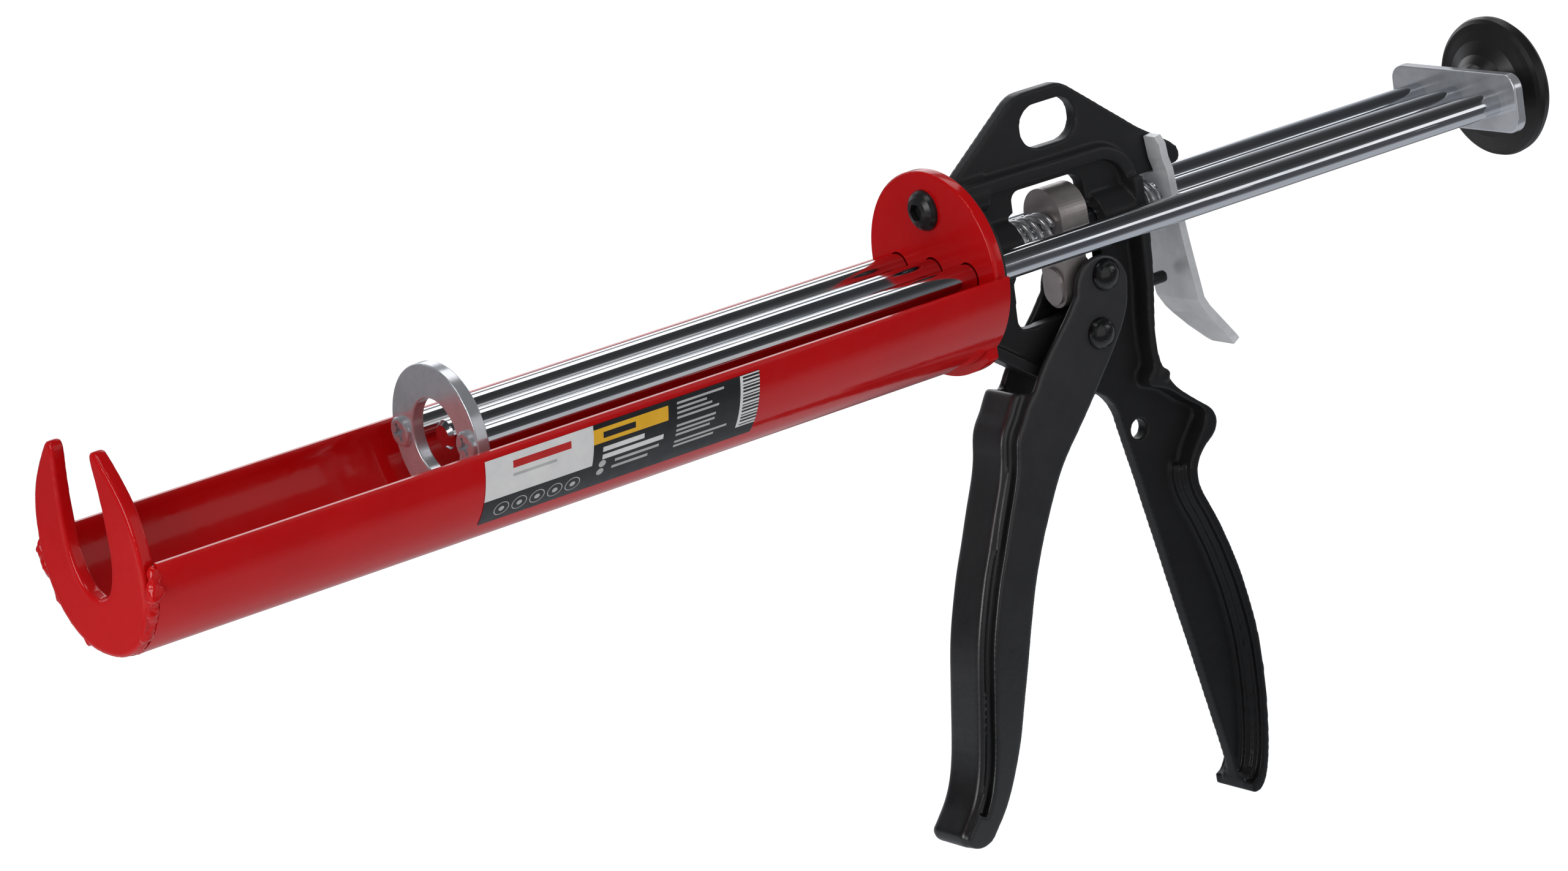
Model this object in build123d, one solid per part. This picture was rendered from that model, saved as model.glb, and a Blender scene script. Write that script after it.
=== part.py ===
from build123d import *
import os
import math

# ---------------------------------------------------------------------------
# Three-rod caulking gun for coaxial cartridges.
# +X points forward to the nozzle, +Z up, +Y to the gun's left-hand side.
# The origin is on the centre rod's axis, at the rear flange's front face.
# All lengths in millimetres.
# ---------------------------------------------------------------------------

# --- rods -------------------------------------------------------------------
ROD_R = 3.5                # all three rods
ROD_PITCH = 13.55          # outer rods lie this far each side of the centre rod
ROD_FRONT = 144.0          # bare front end of the centre rod
ROD_HOLE_R = 3.58          # running fit in the casting and the drive block
OUTER_HOLE_R = 3.85        # clearance holes in the flange and the casting's base

# --- cradle, flange and hook --------------------------------------------------
AXIS_Z = 1.2               # the cradle and flange centre sits slightly above the rods
CRADLE_RI = 24.0
CRADLE_RO = 25.2
CRADLE_EDGE_Z = 0.7        # height of the cradle's two long edges
CRADLE_X0 = -3.2
CRADLE_X1 = 234.2
FLANGE_R = 24.0
FLANGE_T = 3.2
LIP_R = 27.2               # lower lip of the flange, through the cradle's notch
LIP_HALF = 16.5
HOOK_X0 = 233.4
HOOK_X1 = 236.8

# --- pusher -------------------------------------------------------------------
RING_R = 17.5
RING_HOLE_R = 9.35
RING_X1 = 145.9
RING_PLATE_T = 1.6

# --- rear yoke and knob ---------------------------------------------------------
YOKE_X1 = -176.0
YOKE_T = 3.0
YOKE_HALF_Y = 22.8
YOKE_HALF_Z = 7.8
KNOB_R = 18.6

# --- casting -------------------------------------------------------------------
WEB_HALF = 2.0             # half thickness of the casting's flat web
RIB_HALF = 4.6
RIM_HALF = 7.4             # ribbon down the rear wall and the back of the fixed grip
BASE_R = 19.5
BASE_X = -7.4
FRONT_BOSS_X = -23.5
REAR_BOSS_X0 = -49.6
REAR_BOSS_X1 = -64.2
SCREW_Z = 14.4             # flange screws above and below the flange centre

# --- trigger -------------------------------------------------------------------
PIVOT = (-42.8, -26.2)     # x, z of the trigger pivot
DRIVE_PIN = (-46.7, -12.2) # x, z of the pin that pushes the drive block
PIN_R = 2.5
CHEEK_IN = 5.5
CHEEK_OUT = 7.3
NOSE_IN = 3.4             # half width inside the nose
NOSE_OUT = 6.3            # half width of the nose bead
VALLEY_OUT = 4.9          # half width at the bottom of the groove behind it
NOSE_R = 1.25             # rounding of the nose bead's front corners

# --- drive block -----------------------------------------------------------------
BLOCK_X0 = -44.0
BLOCK_X1 = -35.5
BLOCK_HALF = 7.2
LEG_HALF = 4.2

os.makedirs("parts", exist_ok=True)
PARTS = {}


def put(name, shape):
    PARTS[name] = shape
    return shape


def slab(pts, y0, y1, smooth=False):
    """Solid from a closed outline in x, z between y0 and y1."""
    p3 = [(x, y0, z) for x, z in pts]
    if smooth:
        wire = Wire([Spline(*p3, periodic=True)])
    else:
        wire = Wire(Polyline(*p3, close=True).edges())
    return extrude(Face(wire), amount=(y1 - y0), dir=(0, 1, 0))


def plate(pts, x0, x1):
    """Solid from a closed outline in y, z between x0 and x1."""
    p3 = [(x0, y, z) for y, z in pts]
    wire = Wire(Polyline(*p3, close=True).edges())
    return extrude(Face(wire), amount=(x1 - x0), dir=(1, 0, 0))


def cyl_x(r, x0, x1, y=0.0, z=0.0):
    c = Circle(r)
    return extrude(Plane((x0, y, z), x_dir=(0, 1, 0), z_dir=(1, 0, 0)) * c, amount=(x1 - x0), dir=(1, 0, 0))


def cyl_y(r, y0, y1, x=0.0, z=0.0):
    c = Circle(r)
    return extrude(Plane((x, y0, z), x_dir=(1, 0, 0), z_dir=(0, 1, 0)) * c, amount=(y1 - y0), dir=(0, 1, 0))


def catmull(pts, n=5):
    """Denser points on a smooth curve through pts."""
    out = []
    m = len(pts)
    for i in range(m - 1):
        p0 = pts[max(i - 1, 0)]
        p1 = pts[i]
        p2 = pts[i + 1]
        p3 = pts[min(i + 2, m - 1)]
        for k in range(n):
            t = k / n
            q = []
            for a in range(2):
                q.append(0.5 * ((2 * p1[a]) + (-p0[a] + p2[a]) * t
                                + (2 * p0[a] - 5 * p1[a] + 4 * p2[a] - p3[a]) * t * t
                                + (-p0[a] + 3 * p1[a] - 3 * p2[a] + p3[a]) * t ** 3))
            out.append(tuple(q))
    out.append(tuple(pts[-1]))
    return out


def offset_line(pts, d):
    """Open line moved sideways by d, to the left of its direction."""
    out = []
    m = len(pts)
    for i in range(m):
        a = pts[max(i - 1, 0)]
        b = pts[min(i + 1, m - 1)]
        dx, dz = b[0] - a[0], b[1] - a[1]
        n = math.hypot(dx, dz) or 1.0
        out.append((pts[i][0] - dz / n * d, pts[i][1] + dx / n * d))
    return out


def band(pts, half, y_half, n=4):
    """Strip of width 2*half along a smooth path, from -y_half to y_half."""
    c = catmull(pts, n)
    a = offset_line(c, half)
    b = offset_line(c, -half)
    left = Spline(*[(x, -y_half, z) for x, z in a])
    right = Spline(*[(x, -y_half, z) for x, z in b])
    e0 = Line((a[0][0], -y_half, a[0][1]), (b[0][0], -y_half, b[0][1]))
    e1 = Line((a[-1][0], -y_half, a[-1][1]), (b[-1][0], -y_half, b[-1][1]))
    w = Wire([left, e1, right, e0])
    return extrude(Face(w), amount=2 * y_half, dir=(0, 1, 0))


def soften(solid, edges, r):
    """Fillet a list of edges; a smaller radius when the full one will not close."""
    for k in (1.0, 0.6, 0.35):
        try:
            s = fillet(edges, r * k)
            if s.volume > 0 and s.is_valid:
                return s
        except Exception:
            pass
    print("unfilleted", len(edges))
    return solid


def bevel(solid, edges, d):
    """Chamfer a list of edges, smaller when the full one will not close."""
    for k in (1.0, 0.5):
        try:
            s = chamfer(edges, d * k)
            if s.volume > 0 and s.is_valid:
                return s
        except Exception:
            pass
    print("unchamfered", len(edges))
    return solid


def one(shape):
    """The single largest solid of a result."""
    s = sorted(shape.solids(), key=lambda q: q.volume)
    if len(s) > 1:
        print("pieces", [round(q.volume, 2) for q in s])
    return s[-1]


# ---------------------------------------------------------------------------
# Cradle: half tube, open on top
# ---------------------------------------------------------------------------
tube = cyl_x(CRADLE_RO, CRADLE_X0, CRADLE_X1, 0, AXIS_Z) - cyl_x(CRADLE_RI, CRADLE_X0 - 1, CRADLE_X1 + 1, 0, AXIS_Z)
lower = Pos((CRADLE_X0 + CRADLE_X1) / 2, 0, CRADLE_EDGE_Z - 30) * Box(CRADLE_X1 - CRADLE_X0 + 4, 70, 60)
cradle = tube & lower
# notch at the rear for the flange's lower lip
cradle -= Pos(-1.55, 0, -26) * Box(3.5, 2 * LIP_HALF + 0.6, 20)
cradle = one(cradle)
put("barrel_cradle", cradle)

# ---------------------------------------------------------------------------
# Rear flange: round plate with a lower lip, three rod holes and two screw holes
# ---------------------------------------------------------------------------
flange = cyl_x(FLANGE_R, -FLANGE_T, 0, 0, AXIS_Z)
lip = cyl_x(LIP_R, -FLANGE_T, 0, 0, AXIS_Z) & (Pos(-FLANGE_T / 2, 0, -24) * Box(FLANGE_T, 2 * LIP_HALF, 24))
flange = flange + lip
rim_edges = [e for e in flange.edges().filter_by(GeomType.CIRCLE) if abs(e.radius - FLANGE_R) < 0.01]
flange = soften(flange, rim_edges, 0.5)
for y in (-ROD_PITCH, 0, ROD_PITCH):
    flange -= cyl_x(OUTER_HOLE_R, -FLANGE_T - 1, 1, y, 0)
for z in (AXIS_Z + SCREW_Z, AXIS_Z - SCREW_Z):
    flange -= cyl_x(3.0, -FLANGE_T - 1, 1, 0, z)
put("rear_flange", one(flange))

# button-head screws through the flange into the casting
screws = []
for z in (AXIS_Z + SCREW_Z, AXIS_Z - SCREW_Z):
    shaft = cyl_x(3.0, -15.0, 0.0, 0, z)
    head_profile = Plane.XZ * make_face(
        Polyline((0, 0), (0, 5.1), (0.7, 5.05), (1.6, 4.5), (2.4, 3.4), (2.75, 2.2), (2.75, 0), close=True))
    head = revolve(head_profile, axis=Axis.X)
    head = Pos(0, 0, z) * head
    sock = Plane((1.0, 0, z), x_dir=(0, 1, 0), z_dir=(1, 0, 0)) * RegularPolygon(2.3, 6)
    s = shaft + head - extrude(sock, amount=3, dir=(1, 0, 0))
    screws.append(one(s))
put("flange_screws", Compound(screws))

# ---------------------------------------------------------------------------
# Nose hook: forked front plate with a U slot for the nozzle
# ---------------------------------------------------------------------------
hook_r = [(0.0, -23.6), (6.2, -23.0), (12.6, -20.4), (17.6, -16.2), (20.9, -10.6), (22.4, -4.2), (22.5, 1.6),
          (21.6, 7.4), (19.4, 13.0), (16.2, 17.8), (13.0, 21.6), (11.0, 23.7), (9.8, 24.3), (8.7, 23.9), (8.1, 22.6),
          (8.3, 20.4), (8.9, 16.4), (9.4, 10.6), (9.5, 3.4), (8.9, -1.6), (7.0, -6.4), (4.2, -9.4), (0.0, -10.6)]
hook_half = catmull(hook_r, 4)
hook_all = hook_half + [(-y, z) for y, z in reversed(hook_half)][1:-1]
hook = plate(hook_all, HOOK_X0, HOOK_X1)
hook -= PARTS["barrel_cradle"]
put("nose_hook", one(hook))

# Weld bead between the hook plate and the cradle's front end. It follows the
# hook's outline below the cradle's edge and fills the gap to the cradle.
weld_out = cyl_x(CRADLE_RO - 0.15, CRADLE_X1, CRADLE_X1 + 1.5, 0, AXIS_Z) + cyl_x(CRADLE_RI, HOOK_X0, CRADLE_X1, 0, AXIS_Z)
weld_out = weld_out & (Pos(234, 0, CRADLE_EDGE_Z - 0.4 - 30) * Box(12, 80, 60))
hook_fill = [(y, z) for y, z in catmull(hook_r[:9], 5)]
core_pts = [(y, z) for y, z in hook_fill] + [(12.0, 8.0), (-12.0, 8.0)] + [(-y, z) for y, z in reversed(hook_fill)][:-1]
core = plate(core_pts, HOOK_X0 - 1, HOOK_X1 + 1)
weld = weld_out - core
weld = weld - PARTS["nose_hook"] - PARTS["barrel_cradle"]
beads = [s for s in weld.solids() if s.volume > 2]
print("weld", [round(s.volume, 1) for s in weld.solids()])
put("hook_weld", Compound(beads) if len(beads) > 1 else beads[0])

# ---------------------------------------------------------------------------
# Rods: one carriage with the pusher ring, yoke and knob
# ---------------------------------------------------------------------------
YOKE_X0 = YOKE_X1 - YOKE_T
centre = cyl_x(ROD_R, YOKE_X1, ROD_FRONT)
centre = chamfer(centre.edges().filter_by(GeomType.CIRCLE).sort_by(Axis.X)[-1:], 1.0)
centre += cyl_x(3.0, YOKE_X0 - 8.0, YOKE_X1)
put("centre_rod", one(centre))
RING_X0 = RING_X1 - 2 * RING_PLATE_T
for side, y in (("left", ROD_PITCH), ("right", -ROD_PITCH)):
    rod = cyl_x(ROD_R, YOKE_X1, RING_X0, y, 0)
    rod += cyl_x(2.5, YOKE_X0 - 5.0, YOKE_X1, y, 0)
    rod -= cyl_x(2.0, RING_X0 - 9.0, RING_X0 + 1, y, 0)
    put("outer_rod_" + side, one(rod))


def ring_plate(x0, x1):
    s = cyl_x(RING_R, x0, x1) - cyl_x(RING_HOLE_R, x0 - 1, x1 + 1)
    for y in (-ROD_PITCH, ROD_PITCH):
        s -= cyl_x(2.0, x0 - 1, x1 + 1, y, 0)
    return s


mid = RING_X0 + RING_PLATE_T
rf = ring_plate(mid, RING_X1)
rf = soften(rf, [e for e in rf.edges().filter_by(GeomType.CIRCLE)
                 if e.radius > 9 and e.center().X > RING_X1 - 0.1], 0.35)
put("pusher_ring_front", one(rf))
rb = ring_plate(RING_X0, mid)
rb = soften(rb, [e for e in rb.edges().filter_by(GeomType.CIRCLE)
                 if e.radius > 9 and e.center().X < RING_X0 + 0.1], 0.35)
put("pusher_ring_back", one(rb))

screws = []
for y in (-ROD_PITCH, ROD_PITCH):
    prof = Plane.XZ * make_face(Polyline((RING_X1, 0), (RING_X1, 3.6), (RING_X1 + 0.7, 3.58), (RING_X1 + 1.05, 3.35),
                                         (RING_X1 + 1.2, 2.9), (RING_X1 + 1.2, 0), close=True))
    head = Pos(0, y, 0) * revolve(prof, axis=Axis.X)
    s = head + cyl_x(2.0, RING_X0 - 7.5, RING_X1, y, 0)
    for a in (20, 110):
        blade = Box(3.0, 4.4, 0.9)
        s -= Pos(RING_X1 + 1.7, y, 0) * Rot(a, 0, 0) * blade
    s -= Pos(RING_X1 + 0.7, y, 0) * Rot(20, 0, 0) * Box(1.6, 1.9, 1.9)
    screws.append(one(s))
put("ring_screws", Compound(screws))

# yoke plate
yoke_face = Plane((YOKE_X0, 0, 0), x_dir=(0, 1, 0), z_dir=(1, 0, 0)) * RectangleRounded(2 * YOKE_HALF_Y, 2 * YOKE_HALF_Z, 4.0)
yoke = extrude(yoke_face, amount=YOKE_T, dir=(1, 0, 0))
yoke = soften(yoke, yoke.faces().sort_by(Axis.X)[-1].edges() + yoke.faces().sort_by(Axis.X)[0].edges(), 0.45)
yoke -= cyl_x(3.0, YOKE_X0 - 1, YOKE_X1 + 1)
for y in (-ROD_PITCH, ROD_PITCH):
    yoke -= cyl_x(2.5, YOKE_X0 - 1, YOKE_X1 + 1, y, 0)
put("rear_yoke", one(yoke))

nuts = []
for y in (-ROD_PITCH, ROD_PITCH):
    hexa = Plane((YOKE_X0 - 4.0, y, 0), x_dir=(0, 0, 1), z_dir=(1, 0, 0)) * RegularPolygon(4.6, 6)
    n = extrude(hexa, amount=4.0, dir=(1, 0, 0)) - cyl_x(2.5, YOKE_X0 - 5, YOKE_X0 + 1, y, 0)
    cone = Plane.XZ * make_face(Polyline((YOKE_X0 - 4.2, 0), (YOKE_X0 - 4.2, 3.8), (YOKE_X0 - 3.2, 4.7), (YOKE_X0 + 0.2, 4.7),
                                         (YOKE_X0 + 0.2, 0), close=True))
    n = n & (Pos(0, y, 0) * revolve(cone, axis=Axis.X))
    nuts.append(one(n))
put("rod_nuts", Compound(nuts))

# mushroom knob, screwed on the centre rod's threaded tail
KX = YOKE_X0
kp = [(KX, 3.0), (KX, 6.4), (KX - 1.4, 6.4), (KX - 4.4, 7.6), (KX - 6.6, 9.6), (KX - 8.4, 13.0), (KX - 9.2, 15.6),
      (KX - 9.6, 17.2), (KX - 10.4, 18.2), (KX - 11.6, KNOB_R), (KX - 13.0, KNOB_R - 0.2), (KX - 14.4, 17.4),
      (KX - 15.6, 14.6), (KX - 16.4, 10.0), (KX - 16.8, 5.0), (KX - 16.9, 0.0), (KX - 8.0, 0.0), (KX - 8.0, 3.0)]
knob = revolve(Plane.XZ * make_face(Polyline(*kp, close=True)), axis=Axis.X)
put("pull_knob", one(knob))

# ---------------------------------------------------------------------------
# Casting: web, ribs, bosses and the fixed grip in one piece
# ---------------------------------------------------------------------------
web_pts = [(BASE_X, 17.5), (-8.0, 19.2), (-10.2, 21.4), (-28.6, 35.2), (-30.8, 36.3), (-33.0, 36.7), (-43.6, 36.7),
           (-45.6, 36.2), (-47.6, 35.0), (-67.8, 19.6), (-77.4, 13.6), (-79.2, 12.0), (-79.9, 10.2), (-79.4, 8.5),
           (-77.8, 7.7), (-66.0, 7.6), (-63.8, 7.0), (-61.6, 4.0), (-61.3, -10.0), (-60.5, -20.0), (-59.5, -27.5),
           (-59.3, -35.0), (-59.7, -39.5), (-60.4, -43.4), (-63.2, -46.6), (-67.4, -49.9), (-71.4, -52.9),
           (-74.3, -55.8), (-74.4, -58.4), (-72.6, -61.4), (-69.6, -64.0), (-67.0, -67.2), (-66.6, -71.0),
           (-67.5, -75.2), (-71.4, -85.4), (-73.9, -93.0), (-77.0, -103.6), (-78.9, -113.7), (-79.6, -122.0),
           (-79.6, -128.0), (-79.2, -135.8), (-78.0, -146.2), (-76.7, -151.4), (-75.2, -154.6), (-73.6, -156.1),
           (-72.2, -156.0), (-71.6, -154.8), (-71.5, -152.8), (-71.0, -149.2), (-70.3, -145.6), (-67.3, -131.3),
           (-64.3, -117.1), (-61.2, -103.0), (-58.3, -89.0), (-56.8, -82.0), (-55.3, -75.1), (-53.9, -68.2),
           (-52.3, -61.3), (-50.8, -54.5), (-49.9, -50.2), (-48.6, -47.2), (-46.4, -44.4), (-43.0, -42.2),
           (-36.0, -39.4), (-26.4, -34.4), (-16.0, -27.4), (-9.4, -22.0), (BASE_X, -19.6)]
web = slab(web_pts, -WEB_HALF, WEB_HALF)
# window round the drive block
win = [(-25.4, 11.6), (-26.0, 12.9), (-27.4, 13.6), (-44.4, 13.4), (-46.4, 12.6), (-47.6, 11.0), (-48.0, 6.0),
       (-50.4, 5.0), (-50.6, -16.0), (-49.8, -18.4), (-47.6, -19.6),
       (-38.0, -20.4), (-27.0, -20.9), (-23.4, -20.6), (-22.2, -18.8), (-22.6, -9.0), (-23.5, -7.6), (-23.5, 7.6), (-25.2, 8.4)]
web -= slab(win, -10, 10)
# hanging slot
hang = Plane((-39.8, -10, 27.7), x_dir=(1, 0, 0), z_dir=(0, 1, 0)) * SlotOverall(17.9, 10.8)
web -= extrude(hang, amount=20, dir=(0, 1, 0))
cast = web
# thick rib under the triangular top, then down the rear
cast += band([(BASE_X + 0.2, 17.4), (-20.0, 17.3), (-36.0, 17.0), (-50.0, 16.9), (-55.0, 16.4), (-59.0, 14.0), (-61.4, 10.2),
              (-62.4, 6.0)], 1.75, RIB_HALF)
# one ribbon: rear wall, curl at its foot, back of the fixed grip and spoon-shaped end
rib_out = [(-62.8, 9.0), (-63.0, 2.0), (-62.7, -10.0), (-61.7, -20.0), (-60.6, -27.5), (-60.2, -32.2), (-60.3, -35.6),
           (-60.8, -38.7), (-61.7, -40.9), (-62.6, -42.8), (-64.3, -45.5), (-67.0, -48.2), (-69.8, -50.5), (-72.5, -52.6),
           (-75.0, -54.7), (-76.0, -56.6), (-76.1, -58.4), (-75.5, -60.2), (-73.9, -61.9), (-71.6, -63.4), (-69.7, -65.2),
           (-68.2, -67.7), (-67.7, -70.8), (-68.4, -74.3), (-70.0, -78.0), (-71.7, -81.7), (-73.2, -85.4), (-74.5, -89.1),
           (-75.7, -92.7), (-77.7, -99.9), (-79.1, -106.8), (-80.2, -113.7), (-80.7, -120.5), (-80.8, -127.2),
           (-80.5, -133.7), (-79.9, -140.1), (-79.0, -146.5), (-77.9, -151.1), (-76.4, -154.8), (-74.8, -156.6),
           (-73.2, -157.2), (-71.9, -156.8)]
rib_in = [(-59.8, 9.0), (-60.0, 2.0), (-59.7, -10.0), (-59.3, -20.0), (-58.4, -26.8), (-58.2, -31.7), (-58.2, -36.0),
          (-58.4, -38.3), (-58.0, -39.6), (-56.8, -40.8), (-56.1, -42.2), (-56.4, -43.6), (-57.8, -44.5), (-61.2, -45.8),
          (-65.3, -48.8), (-69.5, -51.9), (-72.0, -53.8), (-72.8, -55.2), (-72.4, -56.8), (-71.2, -58.8), (-69.2, -61.2),
          (-67.1, -64.0), (-65.7, -67.0), (-65.3, -70.8), (-66.1, -74.8), (-67.8, -78.8), (-69.5, -82.5), (-70.9, -86.2),
          (-72.3, -89.8), (-73.4, -93.3), (-75.4, -100.4), (-76.8, -107.1), (-77.9, -113.9), (-78.4, -120.5),
          (-78.5, -127.2), (-78.2, -133.6), (-77.6, -139.9), (-76.6, -146.1), (-75.6, -149.8), (-74.4, -152.4),
          (-73.1, -153.8), (-71.8, -154.2)]


def ribbon(outer, inner, half):
    """Strip between two smooth open lines, from -half to half."""
    left = Spline(*[(x, -half, z) for x, z in outer])
    right = Spline(*[(x, -half, z) for x, z in inner])
    e0 = Line((outer[0][0], -half, outer[0][1]), (inner[0][0], -half, inner[0][1]))
    e1 = Line((outer[-1][0], -half, outer[-1][1]), (inner[-1][0], -half, inner[-1][1]))
    return extrude(Face(Wire([left, e1, right, e0])), amount=2 * half, dir=(0, 1, 0))


cast += ribbon(rib_out, rib_in, RIM_HALF)
# the grip's rim thickens in two steps towards the web
rim_in = rib_in[22:-1]
rim_mid = offset_line(rim_in, -0.9)
thick_a = offset_line(rim_in, 1.1)
thick_b = offset_line(rim_in, 2.4)
cast += ribbon(rim_mid, thick_a, 5.2)
cast += ribbon(rim_mid, thick_b, 3.7)
cast += slab([(-75.0, -155.6), (-73.2, -156.7), (-71.8, -156.0), (-71.5, -154.2), (-72.0, -152.4), (-73.6, -151.2), (-76.0, -150.6), (-77.0, -152.6)], -4.2, 4.2)
# round base behind the flange and the two guide bosses
cast += cyl_x(BASE_R, BASE_X, -FLANGE_T, 0, AXIS_Z)
cast += cyl_x(7.6, FRONT_BOSS_X, BASE_X + 0.5)
cast += cyl_x(7.2, REAR_BOSS_X1, REAR_BOSS_X0)
for z in (AXIS_Z + SCREW_Z, AXIS_Z - SCREW_Z):
    cast += cyl_x(4.8, -17.5, BASE_X + 0.5, 0, z)
# pivot boss for the trigger
cast += cyl_y(6.6, -5.2, 5.2, PIVOT[0], PIVOT[1])
# stop lug for the release lever
cast += cyl_x(1.6, -71.3, -59.0, 0, -19.8)
# small moulded nibs on the ribbon's edges, at the curl
for y0 in (-7.8, 5.2):
    cast += cyl_y(1.5, y0, y0 + 2.6, -61.4, -42.0)
# lower brace thickened along its edge
cast += band([(-12.0, -22.6), (-18.0, -26.8), (-26.0, -32.2), (-34.0, -36.6), (-40.0, -39.4)], 1.5, 3.6)
# holes
cast -= cyl_x(ROD_HOLE_R, -80, 5)
for y in (-ROD_PITCH, ROD_PITCH):
    cast -= cyl_x(OUTER_HOLE_R, -60, 5, y, 0)
for z in (AXIS_Z + SCREW_Z, AXIS_Z - SCREW_Z):
    cast -= cyl_x(3.0, -15.0, 5, 0, z)
cast -= cyl_y(PIN_R + 0.06, -20, 20, PIVOT[0], PIVOT[1])
cast -= cyl_y(2.6, -20, 20, -55.2, -55.2)
cast = one(cast)
print("casting", cast.is_valid, round(cast.volume))
put("frame_casting", cast)

# ---------------------------------------------------------------------------
# Drive block: sintered, arched top, narrower leg with a raised pad
# ---------------------------------------------------------------------------
arch = [(BLOCK_HALF * math.cos(math.radians(a)), 4.6 + BLOCK_HALF * math.sin(math.radians(a))) for a in range(0, 181, 6)]
arch_sk = make_face(Polyline(*([(BLOCK_HALF, -4.2)] + arch + [(-BLOCK_HALF, -4.2)]), close=True))
blk = extrude(Plane((BLOCK_X0, 0, 0), x_dir=(0, 1, 0), z_dir=(1, 0, 0)) * arch_sk, amount=BLOCK_X1 - BLOCK_X0, dir=(1, 0, 0))
leg = extrude(Plane((BLOCK_X0, 0, -10.8), x_dir=(0, 0, 1), z_dir=(1, 0, 0)) * SlotOverall(16.0, 2 * LEG_HALF),
              amount=BLOCK_X1 - BLOCK_X0 - 0.8, dir=(1, 0, 0))
pad = extrude(Plane((BLOCK_X0 + 2, 0, -13.2), x_dir=(0, 0, 1), z_dir=(1, 0, 0)) * SlotOverall(9.4, 2 * LEG_HALF - 1.4),
              amount=BLOCK_X1 - BLOCK_X0 - 2, dir=(1, 0, 0))
blk = blk + leg + pad
blk = blk - cyl_x(ROD_HOLE_R, BLOCK_X0 - 1, BLOCK_X1 + 1)
put("drive_block", one(blk))

# ---------------------------------------------------------------------------
# Springs, as closed helices on the centre rod
# ---------------------------------------------------------------------------


def spring(x0, x1, r_mean, wire_r, turns):
    length = x1 - x0 - 2 * wire_r
    h = Helix(length / turns, length, r_mean)
    prof = Plane(origin=h @ 0, z_dir=h % 0) * Circle(wire_r)
    s = sweep(prof, path=h)
    return Pos(x0 + wire_r, 0, 0) * Rot(0, 90, 0) * s


ds = spring(BLOCK_X1 + 0.05, FRONT_BOSS_X - 0.05, 5.6, 0.6, 3.9)
put("drive_spring", one(ds))
ls = spring(-69.9, REAR_BOSS_X1 - 0.05, 5.4, 0.6, 2.8)
put("lock_spring", one(ls))

# ---------------------------------------------------------------------------
# Release lever: stamped plate, hung over the casting's rear prong
# ---------------------------------------------------------------------------
LEVER_T = 2.2
lf = [(-68.4, 17.2), (-69.0, 11.4), (-70.0, 8.2), (-70.6, 1.5), (-72.4, -12.0), (-74.6, -26.4), (-76.4, -29.8), (-84.8, -40.6)]
lb = offset_line(lf, -LEVER_T)
if lb[0][0] > lf[0][0]:
    lb = offset_line(lf, LEVER_T)
lever = slab(lf + list(reversed(lb)), -8.0, 8.0)
# outline seen from the front: rounded shoulders, blade curving in at the far side
ol = [(-8.0, 15.4), (-6.6, 17.6), (6.6, 17.6), (8.0, 15.4), (8.0, -38.2), (7.4, -40.4), (5.8, -41.8), (3.6, -42.3), (0.6, -41.8),
      (-2.4, -39.6), (-5.2, -36.0), (-7.0, -31.8), (-8.0, -26.0)]
mask = plate(ol, -95, -60)
lever = lever & mask
lever -= Pos(-70, 0, 14.2) * Box(14, 5.2, 13.4)
rod_slot = Plane((-80, 0, 0), x_dir=(0, 0, 1), z_dir=(1, 0, 0)) * SlotOverall(9.4, 7.9)
lever -= extrude(rod_slot, amount=15, dir=(1, 0, 0))
put("release_lever", one(lever))

# ---------------------------------------------------------------------------
# Trigger: stamped channel, open to the rear, narrower rounded nose
# ---------------------------------------------------------------------------
front = [(-14.8, -34.2), (-13.3, -36.4), (-11.7, -39.1), (-9.8, -41.7), (-8.5, -44.8), (-7.8, -49.0), (-6.6, -53.7), (-4.5, -59.1),
         (-2.2, -64.8), (0.0, -70.5), (2.3, -76.1), (4.3, -81.9), (6.1, -87.7), (7.6, -93.6), (9.2, -102.7), (10.3, -109.6),
         (11.5, -117.0), (12.6, -122.5), (13.9, -126.9), (15.2, -129.9), (16.9, -132.7), (18.7, -135.0), (20.3, -137.0)]
bottom = [(20.3, -137.0), (21.0, -138.7), (20.6, -140.3), (18.6, -141.7), (16.4, -142.1), (14.1, -142.1), (12.4, -141.3), (10.9, -139.7)]
rear = [(10.9, -139.7), (8.7, -137.2), (6.6, -134.4), (3.7, -129.3), (1.1, -123.7), (-1.1, -118.0), (-2.9, -112.1), (-4.7, -106.3),
        (-6.5, -100.5), (-8.2, -94.6), (-10.0, -88.8), (-11.9, -83.0), (-14.1, -77.4), (-16.6, -71.8), (-19.4, -66.3),
        (-22.4, -60.8), (-25.8, -55.5), (-32.3, -48.1), (-39.6, -39.8), (-45.6, -32.6), (-50.2, -26.4), (-53.0, -20.6)]
cheek_top = [(-53.9, -15.2)]
for a in range(0, 181, 15):
    cheek_top.append((-45.5 - 8.4 * math.cos(math.radians(a)), -15.2 + 8.2 * math.sin(math.radians(a))))
cheek_front = [(-36.2, -16.0), (-30.6, -22.4), (-24.4, -28.9), (-22.6, -31.2), (-20.4, -34.6)]


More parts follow.
